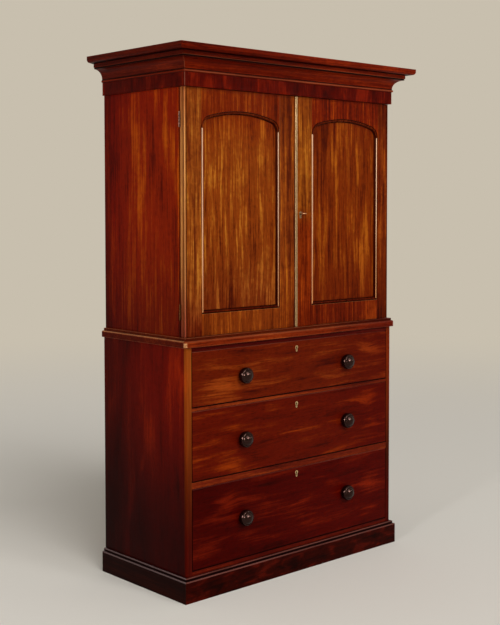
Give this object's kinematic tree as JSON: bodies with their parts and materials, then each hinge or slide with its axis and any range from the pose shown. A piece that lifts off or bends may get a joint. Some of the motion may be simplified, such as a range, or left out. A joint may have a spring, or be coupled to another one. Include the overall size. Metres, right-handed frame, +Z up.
{
  "type": "linen press",
  "caption": "Tall mahogany linen press: arched-panel doors over long drawers, sliding trays inside, moulded cornice and plinth.",
  "frame": {"origin": "on the floor, under the middle of the cornice seen from above", "axes": "+Z up, +Y towards the back, +X to the right of someone facing the doors"},
  "size_m": [1.355, 0.615, 2.15],
  "materials": {
    "door_mahogany": "french polished, ribbon grain",
    "red_mahogany": "french polished",
    "dark_mahogany": "french polished, dark",
    "plinth_mahogany": "french polished, very dark",
    "knob_wood": "turned and polished, nearly black",
    "tray_wood": "thin polish",
    "back_boards": "planed, unpolished",
    "brass": "polished, a little worn",
    "aged_brass": "dulled with age",
    "key_steel": "worn by handling"
  },
  "bodies": {
    "carcase": {"cornice_front": "dark_mahogany", "cornice_left": "dark_mahogany", "cornice_right": "dark_mahogany", "cornice_back": "back_boards", "upper_left_side": "red_mahogany", "upper_right_side": "red_mahogany", "upper_top": "dark_mahogany", "upper_bottom": "dark_mahogany", "upper_back": "back_boards", "base_left_side": "red_mahogany", "base_right_side": "red_mahogany", "waist_board": "red_mahogany", "base_bottom": "dark_mahogany", "base_back": "back_boards", "upper_drawer_divider": "dark_mahogany", "lower_drawer_divider": "dark_mahogany", "plinth_front": "plinth_mahogany", "plinth_left": "plinth_mahogany", "plinth_right": "plinth_mahogany", "left_upper_hinge_carcase_leaf": "aged_brass", "left_lower_hinge_carcase_leaf": "aged_brass", "right_upper_hinge_carcase_leaf": "aged_brass", "right_lower_hinge_carcase_leaf": "aged_brass"},
    "left_door": {"left_door_hinge_stile": "door_mahogany", "left_door_meeting_stile": "door_mahogany", "left_door_top_rail": "door_mahogany", "left_door_bottom_rail": "door_mahogany", "left_door_panel": "door_mahogany", "left_upper_hinge_door_leaf": "aged_brass", "left_lower_hinge_door_leaf": "aged_brass"},
    "right_door": {"right_door_hinge_stile": "door_mahogany", "right_door_meeting_stile": "door_mahogany", "right_door_top_rail": "door_mahogany", "right_door_bottom_rail": "door_mahogany", "right_door_panel": "door_mahogany", "right_upper_hinge_door_leaf": "aged_brass", "right_lower_hinge_door_leaf": "aged_brass", "meeting_strip": "brass", "door_lock": "aged_brass"},
    "lock_bolt": {"door_lock_bolt": "brass"},
    "key": {"door_key": "key_steel"},
    "drawer_1": {"drawer_1_front": "red_mahogany", "drawer_1_box": "tray_wood", "drawer_1_escutcheon": "brass", "drawer_1_left_knob": "knob_wood", "drawer_1_right_knob": "knob_wood"},
    "drawer_2": {"drawer_2_front": "red_mahogany", "drawer_2_box": "tray_wood", "drawer_2_escutcheon": "brass", "drawer_2_left_knob": "knob_wood", "drawer_2_right_knob": "knob_wood"},
    "drawer_3": {"drawer_3_front": "red_mahogany", "drawer_3_box": "tray_wood", "drawer_3_escutcheon": "brass", "drawer_3_left_knob": "knob_wood", "drawer_3_right_knob": "knob_wood"},
    "linen_tray_1": {"tray_1": "tray_wood"},
    "linen_tray_2": {"tray_2": "tray_wood"},
    "linen_tray_3": {"tray_3": "tray_wood"},
    "linen_tray_4": {"tray_4": "tray_wood"}
  },
  "joints": [
    {"name": "left_door_hinge", "type": "hinge", "parent": "carcase", "child": "left_door", "pos_m": [-0.59695, -0.19235, 1.5], "axis": [0, 0, -1], "range_deg": [0, 180]},
    {"name": "right_door_hinge", "type": "hinge", "parent": "carcase", "child": "right_door", "pos_m": [0.59695, -0.19235, 1.5], "axis": [0, 0, 1], "range_deg": [0, 180]},
    {"name": "key_turn", "type": "hinge", "parent": "right_door", "child": "key", "pos_m": [0.034, -0.2187, 1.5059], "axis": [0, -1, 0], "range_deg": [0, 180]},
    {"name": "bolt_slide", "type": "slide", "parent": "right_door", "child": "lock_bolt", "axis": [-1, 0, 0], "range_m": [0, 0.009]},
    {"name": "drawer_1_slide", "type": "slide", "parent": "carcase", "child": "drawer_1", "axis": [0, -1, 0], "range_m": [0, 0.4]},
    {"name": "drawer_2_slide", "type": "slide", "parent": "carcase", "child": "drawer_2", "axis": [0, -1, 0], "range_m": [0, 0.4]},
    {"name": "drawer_3_slide", "type": "slide", "parent": "carcase", "child": "drawer_3", "axis": [0, -1, 0], "range_m": [0, 0.4]},
    {"name": "tray_1_slide", "type": "slide", "parent": "carcase", "child": "linen_tray_1", "axis": [0, -1, 0], "range_m": [0, 0.05]},
    {"name": "tray_2_slide", "type": "slide", "parent": "carcase", "child": "linen_tray_2", "axis": [0, -1, 0], "range_m": [0, 0.05]},
    {"name": "tray_3_slide", "type": "slide", "parent": "carcase", "child": "linen_tray_3", "axis": [0, -1, 0], "range_m": [0, 0.05]},
    {"name": "tray_4_slide", "type": "slide", "parent": "carcase", "child": "linen_tray_4", "axis": [0, -1, 0], "range_m": [0, 0.05]}
  ],
  "couplings": [
    {"joint": "bolt_slide", "follows": "key_turn", "m_per_rad": 0.0028647}
  ]
}
